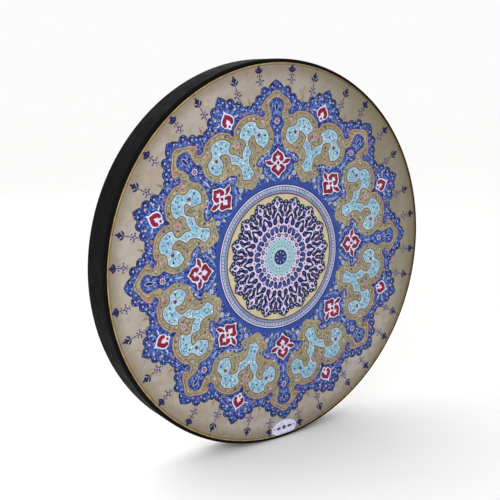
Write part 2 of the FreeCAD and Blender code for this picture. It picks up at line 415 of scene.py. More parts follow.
class Paint(Nodes):
    """A node material on a principled shader."""

    def __init__(self, name, rough=0.5, metal=0.0, specular=0.5):
        self.material = bpy.data.materials.new(name)
        self.material.use_nodes = True
        super().__init__(self.material.node_tree)
        self.shade("Roughness", rough)
        self.shade("Metallic", metal)
        self.shade("Specular IOR Level", specular)
        self.place = self.node("TexCoord").outputs["Object"]

    def shade(self, name, value):
        """A value or an output into one of the shader's sockets."""
        self.put(value, self.tree.nodes["Principled BSDF"].inputs[name])

    def maths(self, operation, first, second=0.0):
        return self.node("Math", {0: first, 1: second}, operation=operation).outputs[0]

    def mix(self, factor, *tones):
        """Between two colours, each one an output or 0-255 values."""
        first, second = (tone if hasattr(tone, "is_output") else srgb(*tone) for tone in tones)
        return self.node("Mix", {0: factor, 6: first, 7: second}, data_type="RGBA").outputs[2]

    def over(self, colour, tone, factor, low, high, most=1.0):
        """A colour with a tone over it, more of it as factor goes from low to high."""
        return self.mix(self.ramp(factor, low, high, 0.0, most), colour, tone)

    def noise(self, scale, detail=3, place=None, distortion=0.0):
        inputs = {"Vector": place or self.place, "Scale": scale, "Detail": detail, "Distortion": distortion}
        return self.node("TexNoise", inputs).outputs["Fac"]

    def moved(self, shift=(0, 0, 0), stretch=(1, 1, 1), place=None):
        """The coordinates stretched and then moved."""
        inputs = {"Vector": place or self.place, "Location": shift, "Scale": stretch}
        return self.node("Mapping", inputs).outputs["Vector"]

    def cells(self, scale, shift, feature="DISTANCE_TO_EDGE", place=None):
        """A cell pattern's outputs: the distance from a cell's edge or, with F1, from its middle."""
        inputs = {"Vector": self.moved(shift, place=place), "Scale": scale}
        return self.node("TexVoronoi", inputs, feature=feature).outputs

    def specks(self, under, tone, scale, size, share, shift):
        """Small printed dots over a colour, in a share of the cells."""
        cell = self.cells(scale, shift, "F1")
        chance = self.node("SeparateColor", {0: cell["Color"]}).outputs[0]
        dot = self.ramp(cell["Distance"], size * 0.8, size, 1.0, 0.0)
        return self.mix(self.maths("MULTIPLY", dot, self.maths("LESS_THAN", chance, share)), under, tone)

    def veins(self, under, tone, scale, width, strength):
        """A fine net of printed scrolls over a colour, bent so that no line runs straight."""
        wander = self.node("TexNoise", {"Vector": self.place, "Scale": 330, "Detail": 1}).outputs["Color"]
        inputs = {0: wander, 1: (0.006, 0.006, 0.006), 2: self.place}
        bent = self.node("VectorMath", inputs, operation="MULTIPLY_ADD").outputs[0]
        distance = self.cells(scale, (0.013, 0.021, 0.007), place=bent)["Distance"]
        return self.mix(self.ramp(distance, width * 0.6, width, strength, 0.0), under, tone)

    def colour(self, value):
        self.shade("Base Color", value)

    def bump(self, height, strength, distance):
        """Relief no deeper than a distance in metres."""
        made = self.node("Bump", {"Height": height, "Strength": strength, "Distance": distance})
        self.shade("Normal", made.outputs["Normal"])

    def centred(self):
        """(distance from the drum's axis, angle about it, y), in metres and radians."""
        x, y, z = self.node("SeparateXYZ", {0: self.moved((0, 0, -CENTRE_Z))}).outputs
        squares = self.maths("ADD", self.maths("MULTIPLY", x, x), self.maths("MULTIPLY", z, z))
        return self.maths("SQRT", squares), self.maths("ARCTAN2", x, z), y


def ink_paint(name, base, shade, dots=(), net=None):
    """A matt ink with slight mottling, printed dots and, at need, a net of scrolls.

    A dot is (tone, scale, size, share) and a net (tone, scale, width, strength).
    """
    made = Paint(name, rough=0.62, specular=0.25)
    colour = made.over(base, shade, made.noise(70), 0.35, 0.65)
    if net:
        colour = made.veins(colour, *net)
    for k, dot in enumerate(dots):
        colour = made.specks(colour, *dot, shift=(0.031 * k, 0.017, 0.023 * k))
    fine = made.ramp(made.noise(1400, 2), 0.3, 0.7, 0.9, 1.08)
    made.colour(made.node("VectorMath", {0: colour, "Scale": fine}, operation="SCALE").outputs[0])
    made.bump(made.noise(900, 2), 0.12, 0.0002)
    return made


def skin_paint():
    """Natural-looking skin: warm, mottled, gold on the lip, with painted shade towards the right and top
    and painted shadow just inside the lip at the hoop.
    """
    made = Paint("Skin", rough=0.55, specular=0.3)
    radius, _, y = made.centred()
    ways = made.node("SeparateXYZ", {0: made.place}).outputs
    east = made.maths("MULTIPLY", ways[0], 0.87)
    # Painted shade: the skin darker towards the drum's right side and its top
    painted_shade = made.ramp(made.maths("ADD", east, made.maths("MULTIPLY", ways[2], 0.5)), 0.22, 0.37)
    colour = made.over((169, 161, 156), (155, 145, 133), made.noise(16, 5), 0.32, 0.68)
    colour = made.over(colour, (140, 127, 106), made.noise(120, 4), 0.4, 0.72, 0.5)
    colour = made.over(colour, (174, 168, 154), made.noise(46, 5, distortion=1.6), 0.56, 0.72, 0.35)
    # The painted shade laid over the skin's colour
    colour = made.mix(made.maths("MULTIPLY", painted_shade, 0.66), colour, (108, 101, 74))
    # Painted shade in a ring on the skin just inside the lip
    colour = made.over(colour, (112, 100, 72), radius, 0.238, 0.2556, 0.6)
    # Painted shadow in the narrow groove just inside the lip
    colour = made.over(colour, (74, 62, 40), radius, 0.2562, 0.2578, 0.6)
    rim = made.over((184, 154, 100), (146, 114, 62), made.noise(90), 0.3, 0.7)
    # Painted shade on the gold lip, darker towards the right side and top
    rim = made.mix(made.maths("MULTIPLY", painted_shade, 0.8), rim, (58, 46, 28))
    colour = made.over(colour, rim, radius, 0.258, 0.2592)
    back = made.over((206, 198, 180), (194, 184, 162), made.noise(28, 5), 0.3, 0.7)
    made.colour(made.over(colour, back, y, FRONT * MM + 0.0021, FRONT * MM + 0.0024))
    made.bump(made.noise(700), 0.2, 0.0002)
    return made


def leatherette_paint():
    """Black grained cover cloth."""
    made = Paint("Leatherette", rough=0.5)
    made.shade("IOR", 1.07)
    grain = made.ramp(made.cells(900, (0, 0, 0))["Distance"], 0.02, 0.16)
    colour = made.mix(grain, (4, 4, 4), (20, 20, 21))
    made.colour(made.over(colour, (32, 31, 31), made.noise(30, 4), 0.5, 0.8, 0.35))
    made.shade("Roughness", made.ramp(made.noise(60), 0.3, 0.7, 0.48, 0.66))
    made.bump(grain, 0.35, 0.0002)
    return made


def wood_paint():
    """Pale bent wood, with its grain along the hoop."""
    made = Paint("Hoop_wood", rough=0.42, specular=0.4)
    radius, angle, y = made.centred()
    along = made.maths("MULTIPLY", made.maths("ABSOLUTE", angle), 0.26)
    around = made.node("CombineXYZ", {0: along, 1: radius, 2: y}).outputs[0]
    grain = made.ramp(made.noise(1, 6, made.moved(stretch=(6, 260, 260), place=around)), 0.3, 0.7)
    pores = made.noise(1, 3, made.moved(stretch=(60, 1500, 1500), place=around))
    colour = made.mix(grain, (206, 168, 118), (164, 120, 74))
    colour = made.over(colour, (112, 76, 44), pores, 0.6, 0.74, 0.6)
    made.colour(made.over(colour, (184, 132, 82), made.noise(9, 2), 0.35, 0.7, 0.35))
    made.shade("Roughness", made.ramp(grain, 0, 1, 0.36, 0.52))
    made.bump(pores, 0.12, 0.0003)
    return made


def steel_paint():
    """Drawn steel wire with faint tarnish."""
    made = Paint("Ring_steel", rough=0.24, metal=1.0)
    spots = made.ramp(made.noise(320, 4), 0.45, 0.75)
    made.colour(made.mix(spots, (206, 206, 204), (150, 146, 140)))
    made.shade("Roughness", made.ramp(spots, 0, 1, 0.2, 0.42))
    made.bump(made.noise(1500, 2), 0.08, 0.0001)
    return made


def brass_paint():
    """Turned brass, a little dulled."""
    made = Paint("Strap_brass", rough=0.3, metal=1.0)
    spots = made.ramp(made.noise(500, 4), 0.4, 0.7)
    made.colour(made.mix(spots, (214, 176, 96), (150, 112, 52)))
    made.shade("Roughness", made.ramp(spots, 0, 1, 0.26, 0.46))
    return made


def leather_paint():
    """Brown strap leather."""
    made = Paint("Strap_leather", rough=0.6, specular=0.35)
    cloudy = made.ramp(made.noise(70, 5), 0.35, 0.65)
    colour = made.mix(cloudy, (122, 74, 42), (86, 50, 28))
    grain = made.ramp(made.cells(1100, (0.003, 0.001, 0.002))["Distance"], 0.02, 0.2)
    made.colour(made.mix(grain, (60, 34, 20), colour))
    made.shade("Roughness", made.ramp(cloudy, 0, 1, 0.5, 0.72))
    made.bump(grain, 0.4, 0.0002)
    return made


def thread_paint():
    """Waxed linen thread."""
    made = Paint("Waxed_thread", rough=0.7, specular=0.2)
    made.colour(made.over((208, 190, 150), (168, 146, 106), made.noise(900), 0.35, 0.65))
    return made


def paper_paint():
    """Coated label paper."""
    made = Paint("Label_paper", rough=0.35, specular=0.45)
    made.colour(made.over((216, 216, 236), (198, 198, 222), made.noise(160, 4), 0.35, 0.7))
    made.bump(made.noise(1200, 2), 0.05, 0.0001)
    return made


def floor_paint():
    """Plain pale studio floor."""
    made = Paint("Studio_floor", rough=0.8, specular=0.1)
    made.colour(made.over((251, 251, 250), (250, 250, 249), made.noise(3), 0.3, 0.7))
    return made


# ---- Skin, cover, label and strap stitching ----

def corner(radius, start, end, steps=8):
    """Points on an arc about the hoop's front corner, from its front round to its side."""
    made = []
    for k in range(steps + 1):
        a = math.radians(start + (end - start) * k / steps)
        made.append((CORNER_RADIUS + radius * math.sin(a), CORNER_Y - radius * math.cos(a)))
    return made


def make_head():
    """The skin, with a rounded gold lip where it passes over the hoop's edge."""
    flat = FRONT + MEMBRANE
    profile = [(radius, flat) for radius in (0.0, 50.0, 100.0, 150.0, 200.0, 235.0)]
    profile += [(radius, flat - height) for radius, height in LIP]
    profile += corner(3.5, 14, 90)
    profile += [(HOOP_OUTER, TUCK_BACK), (REBATE_RADIUS, TUCK_BACK)]
    profile += corner(3.0, 90, 0)
    inner = FRONT + 1.5
    profile += [(257.5, inner), (255.6, inner + 0.7), (254.0, inner + 1.0), (252.0, inner + 1.0)]
    profile += [(radius, flat + SKIN_THICKNESS) for radius in (200.0, 150.0, 100.0, 50.0, 0.0)]
    head = lathe("head", profile, skin_paint())
    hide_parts("head_skin")


def make_cover():
    """The side cover, with a soft hem at the front and a turned back edge."""
    hem = [(260.95, 1.02), (260.3, 0.75), (260.15, 0.42), (260.35, 0.13), (260.85, 0.02), (261.4, 0.1)]
    profile = [(radius, FRONT + depth) for radius, depth in hem]
    profile += corner(4.4, 18, 84, 10)
    side = (FRONT + 5.4, -12.0, -4.0, 4.0, 12.0, BACK - 1.6, BACK - 0.7)
    profile += [(OUTER_RADIUS, y) for y in side]
    profile += [(264.93, BACK - 0.35), (264.7, BACK - 0.1), (264.4, BACK), (264.05, BACK - 0.02)]
    profile += [(HOOP_OUTER, BACK - 0.4), (HOOP_OUTER, TUCK_BACK), (HOOP_OUTER, CORNER_Y)]
    profile += corner(3.5, 80, 12, 6)
    paint = leatherette_paint()
    cover = lathe("cover", profile, paint)
    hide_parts("side_cover")
    seam = make_seam(paint)


def make_seam(paint):
    """The lap where the cover's ends meet, on the right."""
    rows = (FRONT + 4.0, -12.0, 0.0, 12.0, BACK - 1.0)
    section = [(-0.124, -0.3), (-0.1, 0.28), (0.0, 0.34), (2.6, 0.34), (2.72, -0.3)]
    points = [
        about_axis(OUTER_RADIUS + lift, math.radians(SEAM_TURN + turn), y)
        for y in rows for turn, lift in section
    ]
    return solid("cover_seam", points, tube_faces(0, len(rows), len(section)), paint)


def make_label():
    """The oval paper label at the bottom, blank but for a border and a small flower."""
    middle = 250.6
    turn = (178.0,)
    outline = oval(0, middle, 23.5, 12.3, points=96)
    outline = [spot * min(1.0, 260.3 / spot.length) for spot in outline]
    label = Ink("label", paper_paint())
    label.lay(outline, 8, turn, grain=1.6)
    paper = label.finish()
    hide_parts("maker_label")
    border = Ink("label_border", ink_paint("Label_border", (60, 58, 96), (44, 42, 78)))
    core = Vector((0, middle))
    inner, outer = ([core + (spot - core) * share for spot in outline] for share in (0.93, 0.985))
    border.between(inner, outer, 9, turn)
    border.lay(petals(0, 250.4, 3.6, 8, 0.5), 9, turn)
    for side in (-1, 1):
        leaf = [(5 * side, 250.2, CUSP), (9 * side, 252.4), (15 * side, 250.6, CUSP), (9 * side, 248.6)]
        border.lay(smooth(leaf), 9, turn)
    border.finish()
    heart = Ink("label_flower", ink_paint("Label_red", (168, 44, 60), (140, 30, 48)))
    heart.lay(oval(0, 250.4, 1.5), 10, turn)
    for side in (-1, 1):
        heart.lay(oval(17.4 * side, 250.2, 1.2), 9, turn)
    heart.finish()


def make_stitches():
    """Two rows of thread along the strap's arch."""
    arch, inset = 80.5, 2.4
    middle = STRAP_HIGH.z / MM - arch
    pitch, reach = 2.9, 1.05
    stations = [(-1.0, 0.15), (-0.82, 0.7), (-0.4, 1.0), (0.4, 1.0), (0.82, 0.7), (1.0, 0.15)]
    sides = 8
    points, faces = [], []
    for y in (STRAP_LOW.y / MM + inset, STRAP_HIGH.y / MM - inset):
        for k in range(-13, 14):
            faces.extend(tube_faces(len(points), len(stations), sides))
            for along, size in stations:
                a = math.radians(pitch * k + reach * along)
                for n in range(sides):
                    b = 2 * math.pi * n / sides
                    radius = arch + 0.08 + 0.26 * size * math.sin(b)
                    across = y + 0.36 * size * math.cos(b)
                    height = middle + radius * math.cos(a)
                    points.append((radius * MM * math.sin(a), across * MM, height * MM))
    thread = solid("strap_stitches", points, faces, thread_paint(), rounded=True)


# ---- The print ----

INKS = {}


def new_ink(name, base, shade, *dots, net=None):
    INKS[name] = Ink("print_" + name, ink_paint("Ink_" + name, base, shade, dots, net))
    return INKS[name]


navy = new_ink("navy", (14, 14, 68), (20, 20, 82), ((84, 100, 170), 300, 0.14, 0.16))
midnight = new_ink("midnight", (10, 10, 54), (16, 16, 68))
cobalt = new_ink(
    "cobalt", (20, 40, 118), (32, 58, 138),
    ((168, 180, 214), 230, 0.22, 0.3), ((12, 14, 58), 240, 0.36, 0.46),
    ((182, 112, 136), 210, 0.16, 0.12), ((188, 176, 152), 220, 0.14, 0.1),
    net=((108, 134, 190), 170, 0.075, 0.62),
)
ring_blue = new_ink("ring_blue", (44, 74, 150), (38, 64, 138), ((80, 104, 176), 300, 0.16, 0.2))
ochre = new_ink(
    "ochre", (164, 155, 122), (148, 142, 112),
    ((70, 88, 62), 250, 0.24, 0.28), ((158, 92, 84), 260, 0.22, 0.22),
    ((196, 190, 162), 270, 0.28, 0.3), ((92, 78, 130), 240, 0.18, 0.14),
    net=((104, 92, 70), 230, 0.09, 0.45),
)
olive = new_ink(
    "olive", (158, 151, 120), (142, 138, 110),
    ((70, 88, 58), 230, 0.26, 0.26), ((160, 92, 80), 240, 0.22, 0.2),
    ((198, 192, 158), 250, 0.32, 0.34), ((98, 84, 138), 220, 0.2, 0.14),
    net=((104, 88, 78), 190, 0.09, 0.7),
)
sky = new_ink(
    "sky", (138, 180, 200), (160, 196, 208),
    ((50, 86, 136), 230, 0.25, 0.32), ((212, 220, 228), 220, 0.32, 0.34),
    ((136, 92, 126), 230, 0.18, 0.15), ((46, 102, 92), 240, 0.2, 0.15),
    net=((74, 116, 162), 180, 0.07, 0.6),
)
brown = new_ink("brown", (92, 58, 52), (76, 50, 48))
purple = new_ink("purple", (84, 56, 116), (68, 44, 102))
crimson = new_ink("crimson", (134, 16, 52), (114, 12, 44), ((166, 62, 92), 320, 0.16, 0.2))
white = new_ink("white", (214, 212, 230), (200, 200, 224))
light = new_ink("light_blue", (156, 172, 210), (132, 152, 198))
lilac = new_ink("lilac", (210, 198, 226), (196, 182, 216))
pink = new_ink("pink", (196, 150, 170), (182, 134, 156))
teal = new_ink("teal", (54, 108, 132), (44, 90, 118))
orange = new_ink("orange", (184, 122, 84), (172, 104, 72))
rust = new_ink("rust", (146, 74, 66), (128, 62, 58))
green = new_ink("green", (70, 94, 64), (56, 80, 54))
cream = new_ink("cream", (194, 184, 150), (184, 173, 138))
indigo = new_ink("indigo", (30, 38, 108), (26, 34, 94))
aqua = new_ink("aqua", (148, 184, 196), (162, 194, 200))
tan = new_ink("tan", (132, 118, 86), (120, 106, 76))
moss = new_ink("moss", (104, 98, 68), (92, 86, 58))
rose = new_ink("rose_brown", (132, 76, 84), (112, 64, 72))
mist = new_ink("mist", (132, 164, 192), (114, 146, 178), ((180, 188, 212), 420, 0.2, 0.3))
haze = new_ink("haze", (150, 150, 178), (138, 138, 168))


def stack(curve, level, turns, *layers):
    """Plates one over the next, each as far outside the curve as its ink says."""
    for n, (ink, by) in enumerate(layers):
        ink.lay(grown(curve, by), level + n, turns)


def blossoms(level, lean, *groups):
    """Pairs of small flowers beside each axis, the larger ones turned further."""
    for ink, *spots in groups:
        for x, y, size in spots:
            ink.both(petals(x, y, size, 5, 0.5, lean * size), level)


def print_fields():
    """The star's three fields: cobalt border, olive ground and the blue stems round the medallion."""
    border = star_of(8, [
        (0, 237.5, CUSP), (3.2, 234.6), (6.2, 232), (7.8, 229.2), (8.6, 226.6, CUSP), (10.5, 228),
        (13.8, 228.6), (17, 227), (18.6, 223.6), (18.4, 220.4, CUSP), (20, 219.2), (23.4, 219.6),
        (26.8, 218), (28.6, 214.6), (28.2, 211.2, CUSP), (30, 209.4), (33, 209), (35, 207.6, CUSP),
        (37.2, 208), (39.4, 205.8), (40.6, 203.6, CUSP), (42.6, 206.6), (45.6, 208), (48.6, 206.8),
        (50, 205, CUSP), (50.6, 209.4), (53.4, 212.4), (57.2, 212.9), (60.4, 211), (61.8, 208.6, CUSP),
        (62.2, 213), (64, 217), (67.8, 219), (71.8, 217.6), (74, 214.6), (75.2, 213.6, CUSP),
        (78.6, 216.2), (83, 218.2), (87.5, 218.9), (90.9, 219.4, CUSP),
    ])
    stack(border, 1, STAR, (midnight, 1.1), (cobalt, 0))
    ground = star_of(8, [
        (0, 182.4, CUSP), (2.6, 186.2), (3.2, 188.4), (4.2, 191, CUSP), (8, 192.6), (12, 195.4),
        (17, 197.4), (22, 198), (30, 198), (35, 196.5), (40, 195), (45, 192.3), (46.5, 190.6),
        (48.4, 187.4), (52, 185.6), (56, 186.2), (58.7, 189.2), (57.8, 192.8), (55, 195.4),
        (54.4, 197.6, CUSP),
        *from_stem(
            (23.6, 206.6), (21, 210.4), (16.4, 214.8), (12, 217.6), (8.6, 220.8), (5, 223.6), (0, 225),
        ),
    ])
    stack(ground, 3, STAR, (purple, 1.1), (ochre, 0), (rose, -2.2), (olive, -3.2))
    stems = star_of(8, [
        (0, 103.4, CUSP), (4.2, 107.2),
        *from_stem(
            (34.4, 106), (32.2, 111), (29, 115.6), (26.4, 120), (25.2, 124.4), (26.6, 127.4, CUSP),
            (31, 127), (34.4, 128.4), (35.4, 131.4), (33.6, 135), (30, 138.6), (25.4, 141), (20, 142.4),
            (15.4, 145), (11.4, 148.8), (8, 153.6), (6, 159), (5.2, 164.6), (5.4, 169.4), (7, 173.6),
            (9.4, 177.6), (11.6, 181.6), (10.2, 185), (8, 188.4), (7.6, 193), (8.8, 198), (10.6, 202.6),
            (11.2, 206.6), (9.2, 210.8), (5, 213.6), (0, 214.6),
        ),
    ])
    stack(stems, 7, STAR, (ochre, 3.2), (purple, 0.8), (cobalt, 0))


def print_cartouches():
    """The sky-blue cloud shapes, one in each sector of the olive ground."""
    cloud = twin([
        (0, 120.8, CUSP), (2.6, 123), (6, 124.2), (9.6, 126.6, CUSP), (8.4, 130.4), (7.2, 135.6),
        (7.2, 141), (9, 146.2), (12.2, 149.8), (15.4, 151.6), (17, 153.6), (16, 157.4), (15.6, 162),
        (16.2, 166), (19, 168.6), (23, 170.4), (27, 171.4), (29.8, 170.6), (30.4, 168.2), (29.4, 164.6),
        (29.2, 160.6), (31, 156.6), (34, 153), (35.6, 150.4), (36.4, 149.2, CUSP), (40, 149.6),
        (44.6, 151.6), (48.6, 156), (50.3, 161.4), (49.9, 166.6), (48.2, 170, CUSP), (44.8, 171.4),
        (41.2, 173.2), (38.6, 176.4), (37.9, 180), (38.6, 183.2, CUSP), (36, 186.2), (32.4, 188.4),
        (28, 189.6), (23, 189.4), (18, 187.8), (13.6, 185.2), (10.4, 181.8), (8.4, 178.4),
        (8, 176.8, CUSP), (10.6, 175.2), (13, 172.8), (14.2, 169.6), (13.6, 166.2), (11.6, 163.2),
        (8, 161), (5, 158.6), (2.6, 154.6), (0, 150.4, CUSP),
    ])
    stack(cloud, 7, AXES, (ochre, 2.8), (brown, 1.4), (white, 0.1), (sky, -0.4))


def print_flowers():
    """The red lotus on each stem and the red tulip on each axis."""
    back = twin([
        (0, 149.5, CUSP), (1.5, 147.5), (6, 144), (9.5, 141.5), (11, 137.5), (13, 135.5),
        (21.5, 134.3, CUSP), (19.5, 128.5), (17, 126.5), (13, 125), (12.8, 121), (11.5, 118.5),
        (8, 116.5), (4, 113.5), (1.2, 109.5), (0, 108, CUSP),
    ])
    stack(back, 10, STEMS, (midnight, 1.1), (white, 0))
    crown = twin([
        (0, 146.5, CUSP), (3, 143.5), (6.5, 141.5), (8.3, 138.5), (8.8, 135), (8, 132.5), (5.8, 131.5),
        (3.5, 133), (2.5, 134.5), (0, 134.2),
    ])
    crimson.lay(grown(crown, 0.5), 12, STEMS)
    star = [(0, 141.5, CUSP), (1.2, 138.8), (4, 138.3, CUSP), (2.2, 135.6), (0, 134, CUSP)]
    white.lay(twin(star), 13, STEMS)
    crimson.lay(twin([(0, 133, CUSP), (2, 130), (1.5, 127.5), (0, 126.7, CUSP)]), 12, STEMS)
    petal = [
        (3.4, 127), (6.5, 126.5), (9.5, 124.5), (11, 122), (10, 119.5), (7.5, 118), (4.5, 116),
        (2, 113.5), (0.3, 112, CUSP), (0.3, 118), (2, 122),
    ]
    crimson.both(grown(smooth(petal), 0.4), 12, STEMS)
    heart = [(0, 126, CUSP), (3, 124.5), (4.2, 122.5), (2.5, 121), (1, 118.8), (0, 118.3, CUSP)]
    white.lay(twin(heart), 13, STEMS)
    wing = [
        (7.5, 129.5), (11, 130.5), (12, 132.5), (16, 133.3), (20.3, 132.8, CUSP), (18.5, 130),
        (15.5, 128.3), (11, 128), (8.5, 128.2),
    ]
    crimson.both(grown(smooth(wing), 0.4), 12, STEMS)
    tulip = twin([
        (0, 220.5, CUSP), (1.3, 217), (3.5, 214.5), (7, 211.5), (9.5, 208), (11, 205, CUSP),
        (9.5, 201.5), (7, 198), (3.5, 196.5), (1.5, 193.5), (0, 191, CUSP),
    ])
    white.lay(tulip, 5)
    cup = [
        (0, 214, CUSP), (3, 211.5), (6, 209), (8, 205.5), (7.8, 202), (6.5, 199.8), (4.5, 199.5),
        (3.5, 201.5), (2, 202.4), (0, 202.4),
    ]
    crimson.lay(grown(twin(cup), 0.6), 6)
    crimson.lay(twin([(0, 200, CUSP), (2, 197.5), (0, 195.2, CUSP)]), 6)
    pale = [(0, 207.8, CUSP), (1.5, 205.4), (3.4, 203.2), (1.7, 202), (0, 201.2, CUSP)]
    white.lay(twin(pale), 7)
    indigo.lay(twin([(0, 193.4), (2.2, 190.6), (1.6, 187), (0, 183.8, CUSP)]), 6)


def print_border_scrolls():
    """Scrolls, spots and blossoms in the cobalt border."""
    lobes = [
        (3.4, 229.4, 3), (12.9, 224.2, 3.7), (23, 215, 3.8), (32, 205.2, 3.2), (45.4, 203.6, 3.4),
        (56.4, 208.4, 3.8), (68, 214.4, 3.9), (81.6, 214.4, 3.4),
    ]
    for n, (x, y, radius) in enumerate(lobes):
        midnight.both(curl(x, y, radius, 200 - 12 * n, -330, 1.9), 3)
        light.both(oval(x, y, 1.5, 1.1), 4)
    for bud in (
        (38.4, 200.8), (51, 205.4), (62.6, 206.8), (74.8, 209.6), (17.6, 217.6), (28, 207.6), (8.2, 223),
    ):
        light.both(petals(*bud, 1.5, 4, 0.35, 20), 3)
    for bud in (
        (14, 206.4, 3.2), (20.4, 203.8, 2.6), (11.4, 212.6, 2.6), (5.2, 216.8, 2.2), (63.6, 203, 2.4),
    ):
        light.both(curl(*bud, 40, 300), 3)
    light.both(ribbon([(41.2, 195.6), (41.5, 199.6), (41, 203.4)], 1.3), 3)
    light.both(ribbon([(11.6, 205), (15.4, 204.4), (20, 206.6)], 1), 3)
    white.both(ribbon([(11.4, 205), (14.4, 205.4), (18, 204)], 1.2, 0.1), 4)
    orange.both(petals(27, 201.4, 2.5), 3)
    orange.both(petals(66.4, 209.6, 1.6), 3)
    cream.both(petals(16.4, 214, 1.9), 3)
    pink.both(petals(7.4, 222.6, 2), 4)
    pink.both(petals(52.6, 199.2, 1.7), 3)
    rust.both(oval(27, 201.4, 0.9), 4)
    purple.both(petals(53.4, 191.4, 2.6), 5)
    light.both(curl(53.4, 191, 3.9, 120, -290, 0.7), 6)
    sprig = [(40.6, 208.2), (42.2, 210.6), (41.9, 214), (41, 219, CUSP), (40, 214), (39, 211)]
    tan.both(smooth(sprig), 1)


def print_ground_flowers():
    """Curling vines and small flowers on the olive and sky fields."""
    for scroll in (
        (22.6, 161, 4.6, 20, 320), (20.6, 142.6, 4.6, 200, -300), (31, 142.4, 3.8, 90, 290),
        (53.6, 160, 3.4, 0, 300), (53, 171.4, 3.6, 180, -300), (46.6, 182.4, 4.2, 60, 290),
        (17.4, 192.6, 2.2, 0, 300), (35.4, 192.2, 2.2, 120, -280), (61, 190.6, 3.4, 30, 300),
        (4.6, 178.8, 2.8, 40, 300), (6.2, 166.2, 3.2, 200, -300), (16.2, 124.4, 3.4, 0, 310),
        (8, 117.6, 2.8, 150, -300), (27, 132.4, 2.8, 20, 280), (14.4, 141.6, 3, 250, 280),
        (65.4, 183, 3.4, 60, 290), (59.4, 175.4, 2.8, 240, -290), (48.8, 146.4, 2.6, 90, 280),
        (41.4, 144, 2.4, 260, -290), (26.4, 193.8, 2.2, 60, 280),
    ):
        moss.both(curl(*scroll), 8)
    for scroll in (
        (42.6, 160.4, 5.4, 200, 320), (30, 181.4, 4.4, 90, -300), (17.6, 181.6, 3.8, 250, 300),
        (11, 156.6, 3.2, 30, 300), (3.4, 142.6, 2.8, 200, -290), (4.2, 129.4, 2.8, 30, 290),
        (23.6, 175, 2.8, 0, 280), (34.4, 158.6, 2.6, 90, 300),
    ):
        teal.both(curl(*scroll, 0.7), 11)
    blossoms(
        9, 18,
        (green, (22.5, 163, 1.9), (16.5, 127.5, 1.6), (56.6, 178.6, 1.4), (8.6, 189.6, 1.2)),
        (rust, (26, 147.5, 2.2), (62.4, 196.4, 1.8), (6.2, 183.4, 1.3)),
        (indigo, (13.2, 134.5, 1.9), (11.5, 188.8, 1.7), (41.6, 187.6, 1.3)),
        (teal, (52.6, 153, 2.1), (24.6, 154.6, 1.3)),
        (pink, (49.5, 180.4, 2.5), (34.2, 139.2, 1.6)),
        (orange, (62.4, 199.8, 1.9), (9.8, 121.6, 1.4), (55.4, 166, 1.3)),
    )
    blossoms(
        12, 25,
        (crimson, (36.5, 167, 2.9)),
        (teal, (23.5, 178.6, 1.9), (33, 177, 1.8), (3, 134, 1.7)),
        (navy, (45.4, 162.6, 1.7), (15.4, 178.4, 1.3), (8.2, 152.4, 1.2), (40.4, 154.6, 1.1)),
        (green, (28.6, 185.4, 1.1), (4.4, 146.8, 1.1)),
        (rust, (19.4, 185.6, 1.2), (12.4, 159.6, 1)),
        (white, (41.6, 168.2, 1.2), (26.6, 174.6, 1.1), (0.9, 125.8, 1)),
    )
    pink.lay(petals(0, 171, 4.4, 8, 0.45), 8)
    crimson.lay(petals(0, 171.2, 2.3, 6, 0.5), 9)
    cream.lay(oval(0, 171.2, 0.9), 10)
    indigo.both(petals(6, 170, 1.5), 8)
    teal.lay(petals(0, 164.6, 1.6), 8)
    indigo.lay(oval(0, 160.6, 0.9, 1.5), 8)


def print_stem_scrolls():
    """Scrolls and blossoms on the blue stems."""
    for scroll in (
        (4.8, 205.6, 2.8, 0, 300), (3.6, 195.4, 2.2, 200, -300), (4.6, 178.2, 2.4, 40, 300),
        (3, 164.4, 1.7, 210, -290), (4.6, 155.6, 2.6, 20, 300), (15.4, 140.2, 2.8, 90, -300),
        (24.8, 135.6, 3.4, 20, 310), (31, 131.4, 2.2, 200, -290), (18.6, 119.4, 2.8, 0, 300),
        (22.8, 123, 1.9, 180, 290), (14.4, 111.4, 2.6, 60, -300), (7.4, 109.4, 2.2, 20, 280),
        (31.6, 108.4, 2.4, 0, 300), (21.6, 109.8, 2.2, 90, -300), (28.4, 119.4, 1.8, 40, 290),
        (18, 128.6, 1.8, 200, 290),
    ):
        light.both(curl(*scroll, 1), 10, STEMS)
    drop = twin([(0, 211, CUSP), (2.6, 207), (2.8, 202.4), (1.4, 197), (0, 193, CUSP)])
    stack(drop, 11, STEMS, (indigo, 0.6), (light, 0), (navy, -1))
    white.lay(petals(0, 184.6, 4.4, 8, 0.5), 11, STEMS)
    crimson.lay(petals(0, 184.6, 3.3, 6, 0.5), 12, STEMS)
    pink.lay(oval(0, 184.6, 1), 13, STEMS)
    light.lay(petals(0, 172.8, 1.9, 4, 0.4), 11, STEMS)
    light.lay(twin([(0, 168.4, CUSP), (1.2, 164), (1.4, 158.6), (0, 153.4, CUSP)]), 11, STEMS)
    cream.both(petals(26.8, 113.6, 2.9, 6, 0.5), 12, STEMS)
    light.both(petals(26.8, 113.6, 3.8, 6, 0.6), 11, STEMS)
    rust.both(oval(26.8, 113.6, 0.9), 13, STEMS)
    cream.both(smooth([(18, 104.8, CUSP), (19.8, 107.6), (18.4, 111.4, CUSP), (16.8, 108.2)]), 11, STEMS)
    lilac.both(petals(26.4, 137.4, 1.9), 11, STEMS)
    pink.both(petals(30.2, 134, 1.4), 11, STEMS)
    lilac.both(petals(15.8, 146, 1.7), 11, STEMS)
    light.both(ribbon([(9.6, 151.6), (14.4, 144.4), (22, 139.2), (30.4, 135.2)], 1), 11, STEMS)
    light.both(ribbon([(12.4, 112.6), (19.2, 115.8), (23.6, 121.4)], 0.9), 11, STEMS)
    light.both(ribbon([(3.4, 105.4), (10, 107.8), (17.4, 113)], 0.9), 11, STEMS)


